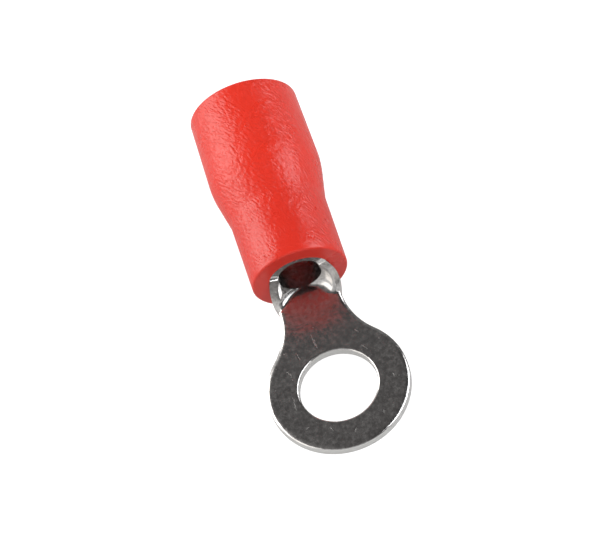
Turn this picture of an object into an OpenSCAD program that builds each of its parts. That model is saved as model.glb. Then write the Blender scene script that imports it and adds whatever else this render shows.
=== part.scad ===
// Insulated ring terminal: a stamped, rolled and tinned copper lug in a moulded vinyl sleeve.
// The origin is the stud hole's centre on the ring's underside. +Z points up out of the
// flat tongue, and +X points along the barrel towards the wire.

/* [Ring tongue] */
// Outer diameter of the ring
ring_d = 8.0; // [7.4:0.1:9.5]
// Diameter of the stud hole
stud_hole_d = 4.4; // [3.2:0.1:4.6]
// Thickness of the copper sheet
sheet_t = 0.55; // [0.45:0.05:0.7]
// Narrowest width of the neck between ring and barrel
neck_w = 3.6; // [3.2:0.1:3.8]
// Radius of the fillets where the neck runs out into the ring
neck_fillet_r = 4.1; // [3:0.1:5]
// Width of the edge that the punch rolled over on the upper side
edge_roll_w = 0.3; // [0.15:0.05:0.4]
// Drop of that rolled edge at the cut
edge_roll_h = 0.14; // [0.05:0.01:0.2]

/* [Wire barrel] */
// Distance from the stud hole's centre to the barrel's mouth
mouth_x = 6.65; // [6.5:0.05:9]
// Outer diameter of the rolled barrel
barrel_od = 3.5; // [3.2:0.1:3.8]
// Length of the closed barrel
barrel_len = 4.5; // [4:0.1:5.5]
// Length over which the flat tongue curls up into the round barrel
scoop_len = 1.2; // [0.9:0.05:1.3]
// Angle through which the scoop's sides have turned up where they enter the sleeve
side_turn = 100; // [80:5:120]
// Radius of the corner between the scoop's cut edge and the barrel's front edge
corner_r = 0.35; // [0.2:0.05:0.5]
// Height of the barrel's underside above the tongue's underside
barrel_rise = 0.2; // [0:0.05:0.3]
// Gap left between the sheet's two edges along the barrel's top
seam_gap = 0.05; // [0.03:0.01:0.12]
// Number of gripping grooves round the inside of the barrel
groove_count = 3; // [1:1:4]
// Width of one gripping groove
groove_w = 0.3; // [0.2:0.05:0.4]
// Depth of one gripping groove
groove_depth = 0.08; // [0.04:0.01:0.12]
// Distance from one groove to the next
groove_pitch = 0.9; // [0.6:0.05:1]
// Chamfer where the wire's strands enter the barrel
strand_chamfer = 0.15; // [0.05:0.05:0.25]

/* [Insulating sleeve] */
// Length of the sleeve
sleeve_len = 11.3; // [10:0.1:14]
// How far the sleeve's front face stands past the barrel's mouth
sleeve_lip = 0.2; // [0.1:0.05:0.3]
// Outer diameter over the barrel
sleeve_front_d = 5.44; // [5.2:0.02:5.8]
// Outer diameter at the crest of the shoulder
sleeve_crest_d = 6.3; // [6.1:0.02:6.8]
// Outer diameter at the wire end
sleeve_rim_d = 6.06; // [5.9:0.02:6.5]
// Length of the narrow part over the barrel
narrow_len = 4.3; // [3.8:0.1:5]
// Length of the shoulder's slope
shoulder_len = 2.3; // [1.8:0.1:2.8]
// Radius of the hollow where the slope starts
hollow_r = 2.0; // [0.5:0.1:3]
// Radius of the crest where the slope ends
crest_r = 5.5; // [3:0.1:6]
// Diameter of the opening for the insulated wire
wire_d = 4.4; // [4:0.1:4.8]
// Length of the straight wire opening, rim included
wire_depth = 4.2; // [3:0.1:5]
// Radius of the front face's outer edge
front_edge_r = 0.12; // [0.05:0.01:0.25]
// Radius of the rim's edges
rim_edge_r = 0.2; // [0.1:0.01:0.3]
// Clearance all round between the barrel and the sleeve
sleeve_clear = 0.01; // [0.01:0.01:0.05]

/* [Hidden] */

round_fn = 128;
ring_r = ring_d / 2;
neck_hw = neck_w / 2;
barrel_r = barrel_od / 2;
bore_r = barrel_r - sheet_t;
axis_z = barrel_rise + barrel_r;
// Radius to the middle of the sheet once it is rolled
roll_r = barrel_r - sheet_t / 2;
// Where the flat tongue ends and its sides start to rise
crease_x = mouth_x - scoop_len;
// Where the section has become fully round: just outside the sleeve
round_x = mouth_x - sleeve_lip;
// Centre of the neck's fillets, and where they touch the ring
fillet_x = sqrt(pow(ring_r + neck_fillet_r, 2) - pow(neck_hw + neck_fillet_r, 2));
touch_x = fillet_x * ring_r / (ring_r + neck_fillet_r);
touch_y = (neck_hw + neck_fillet_r) * ring_r / (ring_r + neck_fillet_r);
// The neck starts inside the ring, clear of the ring's rolled edge
root_x = touch_x - edge_roll_w;
root_hw = touch_y - edge_roll_w;

// The scoop's end sits this deep in the barrel's wall, and this far inside both its faces
join_depth = 0.3;
join_inset = 0.01;
// Where the cut edge's corner towards the barrel's front edge starts
corner_x = mouth_x - corner_r;
// Share of the barrel's radius to which the sides are bent at the crease
crease_bend = 0.45;
// How fast the sides turn up, and how fast their distance goes over to the barrel's
turn_power = 1.1;
reach_power = 1.3;
// Share of the rolled edge that is pressed flat again in the scoop
edge_press = 0.5;
// Share of the way to the sleeve on which the underside still bends upwards
rise_peak = 0.8;

// Stations along the sheet and points across it
root_steps = 4;
neck_steps = 8;
scoop_steps = 12;
mouth_steps = 3;
sheet_steps = 32;

// ---- Shared helpers ----

// Points of one rounded corner b between its neighbours a and c
function rounded(a, b, c, r, n = 8) =
    let (u = (a - b) / norm(a - b), v = (c - b) / norm(c - b),
         half = acos(u * v) / 2,
         t = min(r / tan(half), norm(a - b) * 0.48, norm(c - b) * 0.48),
         fit_r = t * tan(half),
         mid = b + (u + v) / norm(u + v) * fit_r / sin(half),
         from = b + u * t - mid, to = b + v * t - mid,
         turn = 180 - 2 * half,
         way = sign(from[0] * to[1] - from[1] * to[0]))
    [for (i = [0:n]) let (w = way * turn * i / n)
        mid + [from[0] * cos(w) - from[1] * sin(w), from[0] * sin(w) + from[1] * cos(w)]];

// A closed outline of corners [x, y, radius] with every corner rounded
function rounded_outline(c) =
    [for (i = [0:len(c) - 1])
        let (p = c[(i + len(c) - 1) % len(c)], q = c[i], s = c[(i + 1) % len(c)])
        each (q[2] > 0 ? rounded([p[0], p[1]], [q[0], q[1]], [s[0], s[1]], q[2])
                       : [[q[0], q[1]]])];

// Turns a shape built along +Z so that it runs along the barrel's axis from x
module along_barrel(x) {
    translate([x, 0, axis_z]) rotate([0, 90, 0]) children();
}

// ---- Lug: ring ----

// Half section of the ring: a flat plate with its upper edge rolled over
module ring_section() {
    crown = [for (i = [0:6]) let (a = 90 - 15 * i)
        [ring_r - edge_roll_w + edge_roll_w * cos(a), sheet_t - edge_roll_h + edge_roll_h * sin(a)]];
    polygon(concat([[0, 0], [0, sheet_t]], crown, [[ring_r, 0]]));
}

module ring_plate() {
    rotate_extrude($fn = round_fn) ring_section();
}

module stud_hole() {
    translate([0, 0, -1]) cylinder(h = sheet_t + 2, d = stud_hole_d, $fn = round_fn);
}

// ---- Lug: neck and scoop, one sheet that curls from flat to round ----

// Half width of the flat tongue at x
function neck_half(x) =
    x <= root_x ? root_hw
    : neck_hw + (x < fillet_x ? neck_fillet_r - sqrt(pow(neck_fillet_r, 2) - pow(x - fillet_x, 2)) : 0);

// Progress of the curl from the crease (0) to the fully round section (1)
function curl(x) = max(0, min(1, (x - crease_x) / (round_x - crease_x)));

// Width that the corner at the barrel's mouth adds to the sheet
function corner_add(x) =
    x > corner_x ? corner_r - sqrt(max(0, pow(corner_r, 2) - pow(min(x, mouth_x) - corner_x, 2))) : 0;

// Radius of the bend, to the middle of the sheet, and angle turned by the sheet at its cut edge
function bend_r(x) = roll_r * (crease_bend + (1 - crease_bend) * pow(curl(x), 2));
function side_angle(x) = side_turn * pow(curl(x), turn_power);
function edge_turn(x) = side_angle(x) + corner_add(x) / bend_r(x) * 180 / PI;

// Half width of the part that is still flat, and of the whole flattened sheet
function flat_width(x) =
    max(0, neck_half(x) + (roll_r - neck_hw) * pow(curl(x), reach_power)
           - bend_r(x) * sin(min(90, side_angle(x))));
function half_width(x) = flat_width(x) + bend_r(x) * edge_turn(x) * PI / 180;

// Height of the sheet's underside, which climbs from the ring to the barrel's underside
function climb(u) =
    u < rise_peak ? u * u / rise_peak : 1 - pow(1 - u, 2) / (1 - rise_peak);
function rise(x) =
    barrel_rise * climb(max(0, min(1, (x - ring_r) / (round_x - ring_r))));

// Loss of thickness on the upper side at distance d from the cut edge
function edge_drop(d, share) =
    d >= edge_roll_w * share ? 0
    : edge_roll_h * share * (1 - sqrt(max(0, 1 - pow(1 - d / (edge_roll_w * share), 2))));

// Point of the sheet at x, at s across it from the middle, at height h from its mid-plane
function sheet_point(x, s, h) =
    let (flat = flat_width(x), r = bend_r(x), a = max(0, abs(s) - flat) / r * 180 / PI,
         side = s < 0 ? -1 : 1, reach = min(abs(s), flat) + (r - h) * sin(a))
    [x, side * reach, rise(x) + sheet_t / 2 + h + (r - h) * (1 - cos(a))];

// One closed section of the sheet: underside one way, upper side back
function sheet_section(x) =
    let (w = half_width(x), h = sheet_t / 2 - join_inset * curl(x),
         share = 1 - edge_press * curl(x))
    concat([for (k = [0:sheet_steps]) let (s = w * sin(180 * k / sheet_steps - 90))
                sheet_point(x, s, -h)],
           [for (k = [sheet_steps:-1:0]) let (s = w * sin(180 * k / sheet_steps - 90))
                sheet_point(x, s, h - edge_drop(w - abs(s), share))]);

// The flat tongue from inside the ring, then the scoop up to the barrel's mouth
module neck_and_scoop() {
    stations = concat([root_x],
        [for (i = [1:root_steps]) touch_x + (ring_r - touch_x) * i / root_steps],
        [for (i = [1:neck_steps]) ring_r + (crease_x - ring_r) * i / neck_steps],
        [for (i = [1:scoop_steps]) crease_x + (round_x - crease_x) * i / scoop_steps],
        [for (i = [1:mouth_steps]) round_x + sleeve_lip * sin(90 * i / mouth_steps)],
        [mouth_x + join_depth]);
    ring_n = 2 * (sheet_steps + 1);
    last = len(stations) - 1;
    points = [for (x = stations) each sheet_section(x)];
    skin = [for (j = [0:last - 1], k = [0:ring_n - 1]) let (m = (k + 1) % ring_n)
        [j * ring_n + k, (j + 1) * ring_n + k, (j + 1) * ring_n + m, j * ring_n + m]];
    root_cap = [for (k = [0:sheet_steps - 1])
        [k, k + 1, ring_n - 2 - k, ring_n - 1 - k]];
    mouth_cap = [for (q = root_cap) [for (i = [3:-1:0]) q[i] + last * ring_n]];
    polyhedron(points, concat(skin, root_cap, mouth_cap), convexity = 8);
}

// ---- Lug: barrel ----

module barrel_tube() {
    along_barrel(mouth_x) cylinder(h = barrel_len, r = barrel_r, $fn = round_fn);
}

// The bore, its grooves and the chamfer for the strands, as one tool
module barrel_bore() {
    groove_run = (groove_count - 1) * groove_pitch;
    along_barrel(mouth_x) {
        translate([0, 0, -1]) cylinder(h = barrel_len + 2, r = bore_r, $fn = round_fn);
        for (i = [0:groove_count - 1])
            translate([0, 0, (barrel_len - groove_run - groove_w) / 2 + i * groove_pitch])
                cylinder(h = groove_w, r = bore_r + groove_depth, $fn = round_fn);
        translate([0, 0, barrel_len - strand_chamfer])
            cylinder(h = strand_chamfer, r1 = bore_r, r2 = bore_r + strand_chamfer, $fn = round_fn);
    }
}

// The butt seam along the barrel's top
module barrel_seam() {
    translate([mouth_x - 1, -seam_gap / 2, axis_z])
        cube([barrel_len + 2, seam_gap, barrel_r + 1]);
}

module terminal_lug() {
    color("silver") difference() {
        union() {
            ring_plate();
            neck_and_scoop();
            difference() {
                barrel_tube();
                barrel_bore();
                barrel_seam();
            }
        }
        stud_hole();
    }
}

// ---- Insulating sleeve ----

// Half section of the sleeve as [radius, distance from the front face]
module sleeve_section() {
    grip_r = barrel_r + sleeve_clear;
    stop = sleeve_lip + barrel_len;
    polygon(rounded_outline([
        [grip_r, 0, front_edge_r / 2],
        [sleeve_front_d / 2, 0, front_edge_r],
        [sleeve_front_d / 2, narrow_len, hollow_r],
        [sleeve_crest_d / 2, narrow_len + shoulder_len, crest_r],
        [sleeve_rim_d / 2, sleeve_len, rim_edge_r],
        [wire_d / 2, sleeve_len, rim_edge_r],
        [wire_d / 2, sleeve_len - wire_depth, 0],
        [grip_r, stop, 0]]));
}

module insulation_sleeve() {
    color("red")
        along_barrel(mouth_x - sleeve_lip)
            rotate_extrude($fn = round_fn) sleeve_section();
}

terminal_lug();
insulation_sleeve();
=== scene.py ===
import math

import bmesh
import bpy
from mathutils import Matrix, Vector


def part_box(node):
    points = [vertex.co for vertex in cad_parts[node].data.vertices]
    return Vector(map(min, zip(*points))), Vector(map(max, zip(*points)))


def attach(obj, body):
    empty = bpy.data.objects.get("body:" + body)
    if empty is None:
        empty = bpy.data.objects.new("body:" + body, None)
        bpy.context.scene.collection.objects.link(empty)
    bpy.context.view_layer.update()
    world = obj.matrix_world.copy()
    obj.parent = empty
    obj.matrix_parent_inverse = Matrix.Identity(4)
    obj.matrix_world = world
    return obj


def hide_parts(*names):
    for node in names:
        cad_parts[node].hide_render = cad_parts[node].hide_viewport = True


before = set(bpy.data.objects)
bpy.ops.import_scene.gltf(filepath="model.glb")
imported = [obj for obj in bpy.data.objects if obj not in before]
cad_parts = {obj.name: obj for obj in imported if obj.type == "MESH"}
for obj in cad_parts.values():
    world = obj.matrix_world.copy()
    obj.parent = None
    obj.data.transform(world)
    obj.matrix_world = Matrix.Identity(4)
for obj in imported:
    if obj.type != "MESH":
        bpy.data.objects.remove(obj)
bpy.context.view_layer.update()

# Insulated ring terminal: a tinned copper lug, stamped flat and rolled into a barrel,
# in a red vinyl sleeve. Lengths are in metres, and mm turns millimetres into them.
mm = 0.001

lug_low, lug_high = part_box("terminal_lug")
sleeve_low, sleeve_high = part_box("insulation_sleeve")
# Points nearer to each other than this are one point
touch = 1e-7

# ---- Sizes of the lug ----
# edge_press: share of the rolled edge's width that the press left at the barrel
# rise_peak: place along the scoop where its climb is steepest
ring_r = -lug_low.x
hole_r = 2.2 * mm
sheet_t = 0.55 * mm
neck_hw = 1.8 * mm
fillet_r = 4.1 * mm
edge_roll_w = 0.3 * mm
edge_roll_h = 0.14 * mm
hole_roll = 0.13 * mm
barrel_r = 1.75 * mm
roll_r = barrel_r - sheet_t / 2
barrel_len = 4.5 * mm
mouth_x = lug_high.x - barrel_len
rear_x = mouth_x + barrel_len
axis_z = (sleeve_low.z + sleeve_high.z) / 2
barrel_rise = axis_z - barrel_r
crease_x = 5.52 * mm
corner_r = 0.35 * mm
corner_x = mouth_x - corner_r
fillet_x = math.sqrt((ring_r + fillet_r) ** 2 - (neck_hw + fillet_r) ** 2)
touch_angle = math.atan2(neck_hw + fillet_r, fillet_x)
bend_x = ring_r
edge_press = 0.5
rise_peak = 0.8
# The scoop's two sides, left (1) and right (-1) of the neck, did not curl up quite alike:
# angle turned at the sleeve, how fast it is reached, first bend as a share of the barrel's,
# and how far the side bulges out on the way
side_turn = {1: math.radians(107), -1: math.radians(110)}
turn_power = {1: 0.6, -1: 0.42}
crease_bend = {1: 0.45, -1: 0.65}
bulge = {1: 0.17 * mm, -1: 0.24 * mm}
# The drawn sides are thinner than the sheet by this much
side_thin = 0.1 * mm
seam_half = 0.025 * mm
groove_places = (1.20 * mm, 2.10 * mm, 3.00 * mm)
groove_w = 0.3 * mm
groove_depth = 0.08 * mm
groove_side = 0.04 * mm
strand_chamfer = 0.15 * mm

# ---- Sizes of the sleeve: [radius, distance from the front face, corner radius] ----
front_x = sleeve_low.x
sleeve_len = sleeve_high.x - sleeve_low.x
grip_r = barrel_r + 0.01 * mm
wire_r = 2.2 * mm
skin_r = 2.9 * mm
sleeve_corners = [
    (grip_r, 0.0, 0.06 * mm),
    (2.72 * mm, 0.0, 0.12 * mm),
    (2.72 * mm, 4.3 * mm, 2.0 * mm),
    (3.15 * mm, 6.6 * mm, 5.5 * mm),
    (3.03 * mm, sleeve_len, 0.2 * mm),
    (wire_r, sleeve_len, 0.2 * mm),
    (wire_r, 6.9 * mm, 0.0),
    (grip_r, 4.6 * mm, 0.0),
]


# ---- Handling of pieces and selections ----

def deselect_everything():
    bpy.ops.object.select_all(action="DESELECT")


def open_piece(name):
    """Names the primitive just added and goes into edit mode with all of it selected."""
    piece = bpy.context.object
    piece.name = name
    piece.data.name = name
    bpy.ops.object.transform_apply(location=True, rotation=True, scale=True)
    bpy.ops.object.mode_set(mode="EDIT")
    bpy.ops.mesh.select_all(action="SELECT")
    return piece


def close_piece():
    bpy.ops.object.mode_set(mode="OBJECT")


def pick(piece, kind, test):
    """Selects the verts, edges or faces whose test is true, and nothing else."""
    bpy.ops.mesh.select_mode(type={"verts": "VERT", "edges": "EDGE", "faces": "FACE"}[kind])
    bpy.ops.mesh.select_all(action="DESELECT")
    mesh = bmesh.from_edit_mesh(piece.data)
    for part in getattr(mesh, kind):
        if test(part):
            part.select_set(True)
    mesh.select_flush_mode()
    bmesh.update_edit_mesh(piece.data)


def middle(part):
    return sum((v.co for v in part.verts), Vector()) / len(part.verts)


def boolean(piece, tool, how):
    mod = piece.modifiers.new(how, "BOOLEAN")
    mod.operation = how
    mod.solver = "EXACT"
    mod.object = tool
    deselect_everything()
    bpy.context.view_layer.objects.active = piece
    piece.select_set(True)
    bpy.ops.object.modifier_apply(modifier=mod.name)
    bpy.data.objects.remove(tool)


def smooth(piece, angle):
    deselect_everything()
    bpy.context.view_layer.objects.active = piece
    piece.select_set(True)
    bpy.ops.object.shade_smooth_by_angle(angle=math.radians(angle))
    mod = piece.modifiers.new("weighted", "WEIGHTED_NORMAL")
    mod.keep_sharp = True
    mod.weight = 50
    bpy.ops.object.modifier_apply(modifier=mod.name)


def face_outwards(piece):
    """Merges doubles and turns all faces of a closed shape outwards."""
    bpy.ops.mesh.select_all(action="SELECT")
    bpy.ops.mesh.remove_doubles(threshold=touch)
    bpy.ops.mesh.normals_make_consistent(inside=False)
    if bmesh.from_edit_mesh(piece.data).calc_volume(signed=True) < 0:
        bpy.ops.mesh.flip_normals()


# ---- Lug ----

def neck_half(x):
    """Half width of the flat tongue at x."""
    if x > fillet_x:
        return neck_hw
    return neck_hw + fillet_r - math.sqrt(fillet_r**2 - (x - fillet_x) ** 2)


def curl(x):
    """Progress of the scoop from flat at the crease (0) to round at the sleeve (1)."""
    return max(0.0, min(1.0, (x - crease_x) / (front_x - crease_x)))


def bend_r(x, side):
    return roll_r * (crease_bend[side] + (1 - crease_bend[side]) * curl(x) ** 2)


def side_angle(x, side):
    return side_turn[side] * curl(x) ** turn_power[side]


def corner_add(x):
    """Width that the cut edge's corner at the barrel's mouth adds to the sheet."""
    u = min(x, mouth_x) - corner_x
    return corner_r - math.sqrt(max(0.0, corner_r**2 - u * u)) if u > 0 else 0.0


def flat_width(x, side):
    """Half width of the part of the sheet that is still flat at x."""
    c = curl(x)
    reach = neck_half(x) + (barrel_r - neck_hw) * c + bulge[side] * math.sin(math.pi * c) ** 0.8
    turned = math.sin(min(math.pi / 2, side_angle(x, side)))
    return max(0.0, reach - (bend_r(x, side) + sheet_t / 2) * turned)


def half_width(x, side):
    """Half width of the whole sheet at x, laid out flat."""
    return flat_width(x, side) + bend_r(x, side) * side_angle(x, side) + corner_add(x)


def rise(x):
    """Height of the sheet's underside, which climbs from the ring to the barrel."""
    u = max(0.0, min(1.0, (x - ring_r) / (front_x - ring_r)))
    return barrel_rise * (u * u / rise_peak if u < rise_peak
                          else 1 - (1 - u) ** 2 / (1 - rise_peak))


def drawn_thin(x, s):
    """Thickness that the scoop's sides lost where the sheet was drawn round the bend."""
    side = -1 if s < 0 else 1
    turned = max(0.0, abs(s) - flat_width(x, side)) / bend_r(x, side)
    return side_thin * min(1.0, turned) * math.sqrt(math.sin(math.pi * curl(x)))


def rolled(x, s, h):
    """Where a point of the flat sheet at x, s across and h above its middle, is after rolling."""
    side = -1 if s < 0 else 1
    flat, r = flat_width(x, side), bend_r(x, side)
    a = max(0.0, abs(s) - flat) / r
    reach = min(abs(s), flat) + (r - h) * math.sin(a)
    z = rise(x) + sheet_t / 2 + h + (r - h) * (1 - math.cos(a))
    return Vector((x, math.copysign(reach, s), z))


def arc(steps, angle, centre, axis=(0, 0, 1)):
    """Carries the selected end point of an outline round a centre."""
    bpy.ops.mesh.spin(steps=steps, angle=-angle, center=centre, axis=axis)


def draw_to(offset):
    """Draws a straight line of an outline from its selected end point."""
    bpy.ops.mesh.extrude_region_move(TRANSFORM_OT_translate={"value": offset})


def start_outline(name, place):
    """A new piece that is one selected point."""
    deselect_everything()
    bpy.ops.mesh.primitive_plane_add(size=mm, location=place)
    piece = open_piece(name)
    bpy.ops.mesh.select_mode(type="VERT")
    bpy.ops.mesh.select_all(action="SELECT")
    bpy.ops.mesh.merge(type="CENTER")
    return piece


def close_outline():
    bpy.ops.mesh.select_mode(type="VERT")
    bpy.ops.mesh.select_all(action="SELECT")
    bpy.ops.mesh.remove_doubles(threshold=1e-6)
    bpy.ops.mesh.select_all(action="SELECT")


def flat_tongue():
    """Ring, fillets and neck, cut off square at bend_x, with the upper edge rolled over."""
    run_out = 0.8 * mm
    piece = start_outline("terminal_lug_metal", (-ring_r, 0, 0))
    fillet_turn = math.pi / 2 - touch_angle - math.asin((fillet_x - bend_x) / fillet_r)
    fillet_y = neck_hw + fillet_r
    arc(108, math.pi - touch_angle, (0, 0, 0))
    arc(20, -fillet_turn, (fillet_x, -fillet_y, 0))
    draw_to((run_out, 0, 0))
    draw_to((0, 2 * neck_half(bend_x), 0))
    draw_to((-run_out, 0, 0))
    arc(20, -fillet_turn, (fillet_x, fillet_y, 0))
    arc(108, math.pi - touch_angle, (0, 0, 0))
    close_outline()
    bpy.ops.mesh.edge_face_add()
    bpy.ops.mesh.extrude_region_move(
        TRANSFORM_OT_translate={"value": (0, 0, sheet_t - edge_roll_h)})
    face_outwards(piece)
    pick(piece, "faces", lambda f: f.normal.z > 0.9)
    steps = 6
    turns = [math.pi / 2 * i / steps for i in range(steps + 1)]
    for a, b in zip(turns, turns[1:]):
        bpy.ops.mesh.inset(thickness=edge_roll_w * (math.cos(a) - math.cos(b)),
                           depth=edge_roll_h * (math.sin(b) - math.sin(a)))
    bpy.ops.mesh.select_all(action="SELECT")
    bpy.ops.mesh.bisect(plane_co=(bend_x, 0, 0), plane_no=(1, 0, 0), threshold=touch,
                        use_fill=True, clear_outer=True)
    return piece


def sheet_rows():
    """Places along X of the sheet's rows, from the bend line to the barrel's wire end."""
    rows = [bend_x + (crease_x - bend_x) * i / 12 for i in range(1, 13)]
    rows += [crease_x + (corner_x - crease_x) * i / 16 for i in range(1, 17)]
    rows += [corner_x + corner_r * math.sin(math.pi / 2 * i / 10) for i in range(1, 11)]
    rows += [mouth_x + d * mm for d in (0.02, 0.1, 0.3, 0.6, 0.9)]
    for place in groove_places:
        rows += [mouth_x + place + d for d in (0, groove_side, groove_w - groove_side, groove_w)]
        rows += [mouth_x + place + groove_w + 0.3 * mm]
    rows += [rear_x - 0.5 * mm, rear_x - strand_chamfer, rear_x]
    return rows


def inner_loss(x):
    """Depth of the grooves and of the chamfer for the wire in the sheet's upper side at x."""
    if x > rear_x - touch:
        return strand_chamfer
    if any(groove_side - touch < x - mouth_x - place < groove_w - groove_side + touch
           for place in groove_places):
        return groove_depth
    return 0.0


def draw_blank(piece):
    """Draws the flat sheet on past the bend line and widens it behind the barrel's mouth."""
    pick(piece, "edges", lambda e: all(abs(v.co.x - bend_x) < touch for v in e.verts)
         and e.calc_length() > 2 * mm)
    bpy.ops.mesh.subdivide(number_cuts=47)
    pick(piece, "faces", lambda f: f.normal.x > 0.99 and middle(f).x > bend_x - touch)
    at = bend_x
    for x in sheet_rows():
        bpy.ops.mesh.extrude_region_move(TRANSFORM_OT_translate={"value": (x - at, 0, 0)})
        at = x
    mesh = bmesh.from_edit_mesh(piece.data)
    for v in mesh.verts:
        if v.co.x > mouth_x - touch and v.co.z > touch:
            v.co.z = sheet_t
    bmesh.update_edit_mesh(piece.data)
    start_w = neck_half(bend_x)
    columns = 18
    for side in (-1, 1):
        pick(piece, "faces", lambda f: f.normal.y * side > 0.99 and middle(f).x > mouth_x
             and abs(middle(f).y) > start_w - 1e-6)
        step = side * (math.pi * roll_r - seam_half - half_width(mouth_x, side)) / columns
        for _ in range(columns):
            bpy.ops.mesh.extrude_region_move(TRANSFORM_OT_translate={"value": (0, step, 0)})


def roll_up(piece):
    """Turns the sides of the flat sheet up into the scoop and the barrel, vertex by vertex."""
    start_w = neck_half(bend_x)
    start_flat = start_w - edge_roll_w
    mesh = bmesh.from_edit_mesh(piece.data)
    for v in mesh.verts:
        x, s, z = v.co
        if x < bend_x + touch:
            continue
        w = half_width(x, -1 if s < 0 else 1)
        share = 1 - edge_press * curl(x) if x < mouth_x - touch else edge_press
        beyond = abs(s) - start_flat
        if beyond <= 0:
            s *= (w - edge_roll_w * share) / start_flat
        elif beyond <= edge_roll_w + touch:
            s = math.copysign(w - (edge_roll_w - beyond) * share, s)
        else:
            s = math.copysign(w + beyond - edge_roll_w, s)
        loss = 0.0
        if z > touch:
            loss = sheet_t - z + inner_loss(x) + drawn_thin(x, s)
            z = sheet_t - loss
        v.co = rolled(x, s, z - sheet_t / 2)
    bmesh.update_edit_mesh(piece.data)


def punch_hole(piece):
    """The stud hole, with the edge that the punch rolled over on the upper side."""
    deselect_everything()
    bpy.ops.mesh.primitive_cylinder_add(vertices=128, radius=hole_r, depth=4 * sheet_t)
    punch = open_piece("punch")
    close_piece()
    boolean(piece, punch, "DIFFERENCE")
    bpy.ops.object.mode_set(mode="EDIT")
    pick(piece, "edges", lambda e: all(
        abs(math.hypot(v.co.x, v.co.y) - hole_r) < 0.01 * mm and v.co.z > sheet_t - 1e-6
        for v in e.verts))
    bpy.ops.mesh.bevel(offset=hole_roll, segments=5, profile=0.5, clamp_overlap=False)
    face_outwards(piece)
    close_piece()


def mark_cut_edges(piece):
    """Marks the sheared sides of the ring and the neck, which are duller than the sheet."""
    edge = piece.data.attributes.new("cut_edge", "FLOAT", "FACE")
    for face in piece.data.polygons:
        sheared = abs(face.normal.z) < 0.3 and face.center.x < bend_x
        edge.data[face.index].value = 1.0 if sheared else 0.0


def make_lug():
    piece = flat_tongue()
    draw_blank(piece)
    roll_up(piece)
    face_outwards(piece)
    close_piece()
    punch_hole(piece)
    mark_cut_edges(piece)
    smooth(piece, 35)
    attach(piece, "root")
    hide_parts("terminal_lug")
    return piece


# ---- Sleeve ----

def sleeve_outline(step=0.25 * mm):
    """Half section of the sleeve, drawn corner by corner as lines and arcs above the axis."""
    corners = [(Vector((front_x + d, axis_z + r)), c) for r, d, c in sleeve_corners]
    n = len(corners)
    marks = []
    for i, (at, radius) in enumerate(corners):
        before, after = corners[i - 1][0], corners[(i + 1) % n][0]
        u, v = (before - at).normalized(), (after - at).normalized()
        if radius == 0:
            marks.append((at, at, None, 0.0))
            continue
        half = u.angle(v) / 2
        cut = radius / math.tan(half)
        centre = at + (u + v).normalized() * radius / math.sin(half)
        turn = math.copysign(math.pi - 2 * half, u.x * v.y - u.y * v.x)
        marks.append((at + u * cut, at + v * cut, centre, turn))
    first = marks[0][1]
    piece = start_outline("sleeve_vinyl", (first.x, 0, first.y))
    here = first
    for start, end, centre, turn in marks[1:] + marks[:1]:
        lines = max(1, round((start - here).length / step))
        for _ in range(lines):
            move = (start - here) / lines
            draw_to((move.x, 0, move.y))
        if centre is not None:
            arc(8, turn, (centre.x, 0, centre.y), axis=(0, 1, 0))
        here = end
    close_outline()
    return piece


def make_sleeve():
    piece = sleeve_outline()
    bpy.ops.mesh.spin(steps=160, angle=2 * math.pi, center=(0, 0, axis_z), axis=(1, 0, 0),
                      use_auto_merge=True)
    face_outwards(piece)
    close_piece()
    smooth(piece, 35)
    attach(piece, "root")
    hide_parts("insulation_sleeve")
    return piece


# ---- Finishes ----

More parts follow.
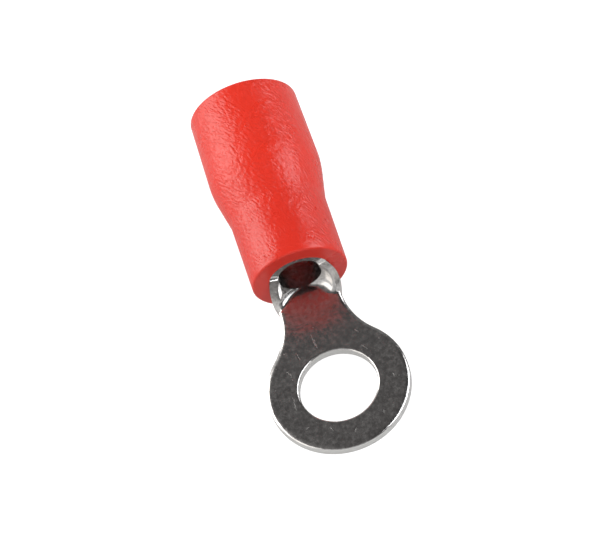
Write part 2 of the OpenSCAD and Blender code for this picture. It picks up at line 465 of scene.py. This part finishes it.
class Finish:
    """A material and short ways to add and join its nodes."""

    def __init__(self, name):
        self.material = bpy.data.materials.new(name)
        self.material.use_nodes = True
        self.nodes = self.material.node_tree.nodes
        self.links = self.material.node_tree.links
        self.shader = self.nodes["Principled BSDF"]

    def feed(self, socket, value):
        if isinstance(value, bpy.types.NodeSocket):
            self.links.new(value, socket)
        else:
            socket.default_value = value

    def set(self, name, value):
        self.feed(self.shader.inputs[name], value)

    def place(self):
        return self.nodes.new("ShaderNodeTexCoord").outputs["Object"]

    def math(self, operation, a, b=0.0, c=0.0, clamp=False):
        node = self.nodes.new("ShaderNodeMath")
        node.operation = operation
        node.use_clamp = clamp
        for socket, value in zip(node.inputs, (a, b, c)):
            self.feed(socket, value)
        return node.outputs[0]

    def vector(self, operation, a, b=(0, 0, 0), scale=1.0):
        node = self.nodes.new("ShaderNodeVectorMath")
        node.operation = operation
        self.feed(node.inputs[0], a)
        if operation == "SCALE":
            self.feed(node.inputs["Scale"], scale)
        else:
            self.feed(node.inputs[1], b)
        return node.outputs["Value" if operation in ("LENGTH", "DOT_PRODUCT") else "Vector"]

    def split(self, vector):
        node = self.nodes.new("ShaderNodeSeparateXYZ")
        self.feed(node.inputs[0], vector)
        return node.outputs

    def join(self, x, y, z):
        node = self.nodes.new("ShaderNodeCombineXYZ")
        for socket, value in zip(node.inputs, (x, y, z)):
            self.feed(socket, value)
        return node.outputs[0]

    def noise(self, place, size, detail=2.0, roughness=0.5, colour=False):
        """Cloudy noise whose features are about size long."""
        node = self.nodes.new("ShaderNodeTexNoise")
        self.feed(node.inputs["Vector"], place)
        node.inputs["Scale"].default_value = 0.5 / size
        node.inputs["Detail"].default_value = detail
        node.inputs["Roughness"].default_value = roughness
        return node.outputs["Color" if colour else "Fac"]

    def shifted(self, point, place, size, reach):
        """The point, moved by up to half of reach by noise at the place."""
        noise = self.noise(place, size, colour=True)
        centred = self.vector("SUBTRACT", noise, (0.5, 0.5, 0.5))
        return self.vector("ADD", point, self.vector("SCALE", centred, scale=reach))

    def remap(self, value, low, high, to_low=0.0, to_high=1.0):
        node = self.nodes.new("ShaderNodeMapRange")
        for socket, number in zip(node.inputs, (value, low, high, to_low, to_high)):
            self.feed(socket, number)
        return node.outputs[0]

    def blend(self, share, a, b):
        node = self.nodes.new("ShaderNodeMix")
        node.data_type = "RGBA"
        self.feed(node.inputs["Factor"], share)
        self.feed(node.inputs["A"], (*a, 1) if isinstance(a, tuple) else a)
        self.feed(node.inputs["B"], (*b, 1) if isinstance(b, tuple) else b)
        return node.outputs["Result"]

    def bump(self, height, depth, below=None):
        node = self.nodes.new("ShaderNodeBump")
        self.feed(node.inputs["Height"], height)
        node.inputs["Strength"].default_value = 1.0
        node.inputs["Distance"].default_value = depth
        if below is not None:
            self.links.new(below, node.inputs["Normal"])
        return node.outputs[0]


# Light marks on the ring's upper side: start, end and half width in millimetres
ring_marks = [
    ((3.55, 0.52), (2.81, 0.51), 0.05), ((3.19, 0.45), (2.65, 0.44), 0.05),
    ((2.91, -1.85), (2.73, -1.97), 0.06), ((1.86, -1.94), (1.52, -2.13), 0.05),
    ((-0.47, -3.04), (-0.60, -3.07), 0.08), ((-2.48, -1.91), (-2.58, -1.88), 0.08),
    ((-2.96, -0.15), (-3.12, -0.04), 0.06), ((1.83, 2.42), (1.48, 2.25), 0.06),
    ((2.80, 1.62), (2.29, 1.54), 0.04), ((0.17, 2.57), (-0.61, 2.63), 0.05),
    ((-1.96, 2.45), (-1.90, 2.26), 0.05), ((-2.35, 1.18), (-2.59, 1.08), 0.06),
]


def mark_strength(finish, place):
    """Strength of the light marks at a place, ragged along their edges."""
    place = finish.shifted(place, place, 0.08 * mm, 0.12 * mm)
    place = finish.vector("MULTIPLY", place, (1, 1, 0))
    total = 0.0
    for start, end, half in ring_marks:
        a = Vector((*start, 0)) * mm
        run = Vector((*end, 0)) * mm - a
        off = finish.vector("SUBTRACT", place, tuple(a))
        along = finish.vector("DOT_PRODUCT", off, tuple(run / run.length_squared))
        along = finish.math("MULTIPLY", along, 1.0, clamp=True)
        off = finish.vector("SUBTRACT", off, finish.vector("SCALE", tuple(run), scale=along))
        near = finish.remap(finish.vector("LENGTH", off), 0.8 * half * mm, 0.2 * half * mm)
        total = finish.math("MAXIMUM", near, total)
    return total


def tinned_copper():
    """Bright tin plate: a mirror with a fine grain, specks and marks, and duller sheared edges."""
    finish = Finish("tinned_copper")
    place = finish.place()
    height = finish.split(place)[2]
    cut = finish.nodes.new("ShaderNodeAttribute")
    cut.attribute_name = "cut_edge"
    cut = cut.outputs["Fac"]
    grain = finish.noise(place, 0.11 * mm, detail=3, roughness=0.65)
    patches = finish.noise(place, 0.9 * mm, detail=2)
    cells = finish.nodes.new("ShaderNodeTexVoronoi")
    finish.links.new(place, cells.inputs["Vector"])
    cells.inputs["Scale"].default_value = 1 / (0.33 * mm)
    dots = finish.remap(cells.outputs["Distance"], 0.17, 0.05)
    chosen = finish.remap(finish.split(cells.outputs["Color"])[0], 0.72, 0.8)
    specks = finish.math("MULTIPLY", dots, chosen)
    on_top = finish.remap(height, sheet_t - 0.02 * mm, sheet_t - 0.01 * mm)
    scratched = finish.math("MULTIPLY", mark_strength(finish, place), on_top)
    worn = finish.math("MAXIMUM", specks, scratched)
    tone = finish.blend(finish.remap(grain, 0.35, 0.65), (0.62, 0.60, 0.59), (0.90, 0.88, 0.86))
    tone = finish.blend(finish.math("MULTIPLY", patches, 0.4), tone, (0.72, 0.70, 0.68))
    tone = finish.blend(cut, tone, (0.80, 0.79, 0.77))
    finish.set("Base Color", tone)
    finish.set("Metallic", 1.0)
    rough = finish.remap(grain, 0.35, 0.65, 0.12, 0.26)
    rough = finish.math("MAXIMUM", rough, finish.math("MULTIPLY", worn, 0.42))
    rough = finish.math("MAXIMUM", rough, finish.math("MULTIPLY", cut, 0.42))
    finish.set("Roughness", rough)
    lift = finish.math("ADD", grain, finish.math("MULTIPLY", worn, -0.8))
    shape = finish.bump(lift, 0.004 * mm)
    shape = finish.bump(finish.noise(place, 0.5 * mm, detail=1), 0.008 * mm, shape)
    finish.set("Normal", shape)
    return finish.material


def red_vinyl():
    """Soft red vinyl, painted a little darker towards the front as shade where the light falls off,
    with fine slanting wrinkles in its skin.
    """
    finish = Finish("red_vinyl")
    place = finish.place()
    x, y, z = finish.split(place)
    z = finish.math("SUBTRACT", z, axis_z)
    radius = finish.vector("LENGTH", finish.join(0.0, y, z))
    turn = finish.math("ARCTAN2", y, z)
    skin = finish.join(x, finish.math("MULTIPLY", turn, skin_r), 0.0)
    skin = finish.shifted(skin, place, 1.1 * mm, 0.8 * mm)
    slant = finish.nodes.new("ShaderNodeMapping")
    finish.links.new(skin, slant.inputs["Vector"])
    slant.inputs["Rotation"].default_value = (0, 0, -math.radians(37))
    slanted = finish.vector("MULTIPLY", slant.outputs[0], (0.42, 1, 1))
    folds = finish.noise(slanted, 0.075 * mm, detail=2, roughness=0.5)
    pores = finish.noise(place, 0.07 * mm, detail=1)
    outside = finish.remap(radius, 2.45 * mm, 2.6 * mm)
    behind = finish.remap(x, front_x + 0.05 * mm, front_x + 0.5 * mm)
    uneven = finish.remap(finish.noise(place, 1.6 * mm), 0.35, 0.6, 0.55, 1.0)
    strength = finish.math("MULTIPLY", finish.math("MULTIPLY", outside, behind), uneven)
    height = finish.math("MULTIPLY", finish.math("ADD", folds, finish.math("MULTIPLY", pores, 0.12)),
                         strength)
    shape = finish.bump(height, 0.095 * mm)
    finish.set("Normal", shape)
    # Painted shade: the base red is darker below x = 9 mm and blends to the lighter red above 13 mm,
    # standing in for light that falls off towards the front
    painted_front_shade_fade = finish.remap(x, 9.0 * mm, 13.0 * mm)
    tone = finish.blend(painted_front_shade_fade, (0.79, 0.032, 0.016), (0.86, 0.037, 0.018))
    finish.set("Base Color", tone)
    finish.set("Roughness", finish.remap(finish.noise(place, 0.6 * mm), 0.3, 0.7, 0.26, 0.34))
    finish.set("IOR", 1.54)
    return finish.material


# ---- Stage, light and camera ----

def plain_floor():
    """A pale floor under the ring's tip and the sleeve's crest, where the part comes to rest."""
    crest_x = front_x + sleeve_corners[3][1]
    lean = math.atan2(-sleeve_low.z, crest_x + ring_r)
    deselect_everything()
    bpy.ops.mesh.primitive_plane_add(size=6)
    floor = open_piece("floor")
    bpy.ops.transform.rotate(value=-lean, orient_axis="Y", center_override=(0, 0, 0))
    bpy.ops.transform.translate(value=(0, 0, -math.tan(lean) * ring_r - 0.005 * mm))
    close_piece()
    finish = Finish("floor_white")
    nodes, links = finish.nodes, finish.links
    finish.set("Base Color", (0.4, 0.4, 0.4, 1))
    finish.set("Roughness", 0.9)
    glow_strength, mirrored_share = 0.93, 0.3
    glow = nodes.new("ShaderNodeEmission")
    glow.inputs["Color"].default_value = (1, 1, 1, 1)
    path = nodes.new("ShaderNodeLightPath").outputs
    seen = finish.math("MAXIMUM", path["Is Camera Ray"], path["Is Transmission Ray"])
    mirrored = finish.math("MULTIPLY", path["Is Glossy Ray"], mirrored_share)
    seen = finish.math("MAXIMUM", seen, mirrored)
    finish.feed(glow.inputs["Strength"], finish.math("MULTIPLY", seen, glow_strength))
    both = nodes.new("ShaderNodeAddShader")
    links.new(finish.shader.outputs[0], both.inputs[0])
    links.new(glow.outputs[0], both.inputs[1])
    clear = nodes.new("ShaderNodeBsdfTransparent")
    beneath = nodes.new("ShaderNodeMixShader")
    links.new(nodes.new("ShaderNodeNewGeometry").outputs["Backfacing"], beneath.inputs["Fac"])
    links.new(both.outputs[0], beneath.inputs[1])
    links.new(clear.outputs[0], beneath.inputs[2])
    links.new(beneath.outputs[0], nodes["Material Output"].inputs["Surface"])
    floor.data.materials.append(finish.material)


def soft_box(name, azimuth, elevation, distance, size, strength, tint=(1, 1, 1), mirrored=True):
    """A square lamp of even brightness that faces the part. Azimuth turns from +X to +Y."""
    a, e = math.radians(azimuth), math.radians(elevation)
    way = Vector((math.cos(a) * math.cos(e), math.sin(a) * math.cos(e), math.sin(e)))
    lamp = bpy.data.lights.new(name, "AREA")
    lamp.shape = "RECTANGLE"
    lamp.size, lamp.size_y = size
    lamp.energy = strength * math.pi * size[0] * size[1]
    lamp.color = tint
    holder = bpy.data.objects.new(name, lamp)
    bpy.context.scene.collection.objects.link(holder)
    holder.location = way * distance
    holder.rotation_euler = (-way).to_track_quat("-Z", "Y").to_euler()
    holder.visible_glossy = mirrored


def studio_dome():
    """Light all round at the horizon, weaker on the right, that falls off to dark overhead."""
    world = bpy.data.worlds.new("studio")
    bpy.context.scene.world = world
    world.use_nodes = True
    nodes, links = world.node_tree.nodes, world.node_tree.links
    place = nodes.new("ShaderNodeTexCoord")
    split = nodes.new("ShaderNodeSeparateXYZ")
    ramp = nodes.new("ShaderNodeValToRGB")
    side = nodes.new("ShaderNodeMapRange")
    links.new(place.outputs["Generated"], split.inputs[0])
    links.new(split.outputs["Z"], ramp.inputs["Fac"])
    ramp.color_ramp.elements[0].position = 0.5
    ramp.color_ramp.elements[0].color = (0.6, 0.6, 0.6, 1)
    ramp.color_ramp.elements[1].position = 0.8
    ramp.color_ramp.elements[1].color = (0.158, 0.154, 0.154, 1)
    links.new(split.outputs["Y"], side.inputs["Value"])
    side.inputs["From Min"].default_value = -0.6
    side.inputs["From Max"].default_value = 0.6
    side.inputs["To Min"].default_value = 0.12
    side.inputs["To Max"].default_value = 1.0
    links.new(ramp.outputs[0], nodes["Background"].inputs["Color"])
    links.new(side.outputs[0], nodes["Background"].inputs["Strength"])


def aim_camera(azimuth, elevation, roll, distance, lens, offset):
    """Camera seen from the azimuth and elevation, turned by roll, with the origin off centre."""
    a, e, t = (math.radians(v) for v in (azimuth, elevation, roll))
    back = Vector((math.sin(a) * math.cos(e), -math.cos(a) * math.cos(e), math.sin(e)))
    level = Vector((0, 0, 1)).cross(back).normalized()
    up = back.cross(level)
    right = level * math.cos(t) - up * math.sin(t)
    up = back.cross(right)
    eye = bpy.data.cameras.new("camera")
    eye.lens = lens
    eye.sensor_width = 36
    eye.clip_start = 0.01
    holder = bpy.data.objects.new("camera", eye)
    bpy.context.scene.collection.objects.link(holder)
    place = right * offset[0] + up * offset[1] + back * distance
    turn = Matrix((right, up, back)).transposed().to_4x4()
    holder.matrix_world = Matrix.Translation(place) @ turn
    bpy.context.scene.camera = holder


metal = tinned_copper()
vinyl = red_vinyl()
make_lug().data.materials.append(metal)
make_sleeve().data.materials.append(vinyl)
plain_floor()
studio_dome()
soft_box("left_box", 58, 16, 0.6, (0.52, 0.64), 2.9, (1, 0.98, 0.95))
soft_box("rear_left_box", 108, 25, 0.6, (0.36, 0.36), 1.0, (1, 0.97, 0.92))
soft_box("right_box", -98, 34, 0.6, (0.70, 0.36), 3.4, (0.95, 0.97, 1.0))
soft_box("right_stripe", -60, 32, 0.6, (0.16, 0.16), 3.0, (0.97, 0.97, 1.0))
soft_box("fill", 182, 62, 0.6, (0.4, 0.4), 2.0, mirrored=False)
aim_camera(azimuth=-88.04, elevation=59.55, roll=21.33, distance=0.769, lens=843.9,
           offset=(-2.190 * mm, 6.694 * mm))
bpy.context.scene.view_settings.view_transform = "Standard"
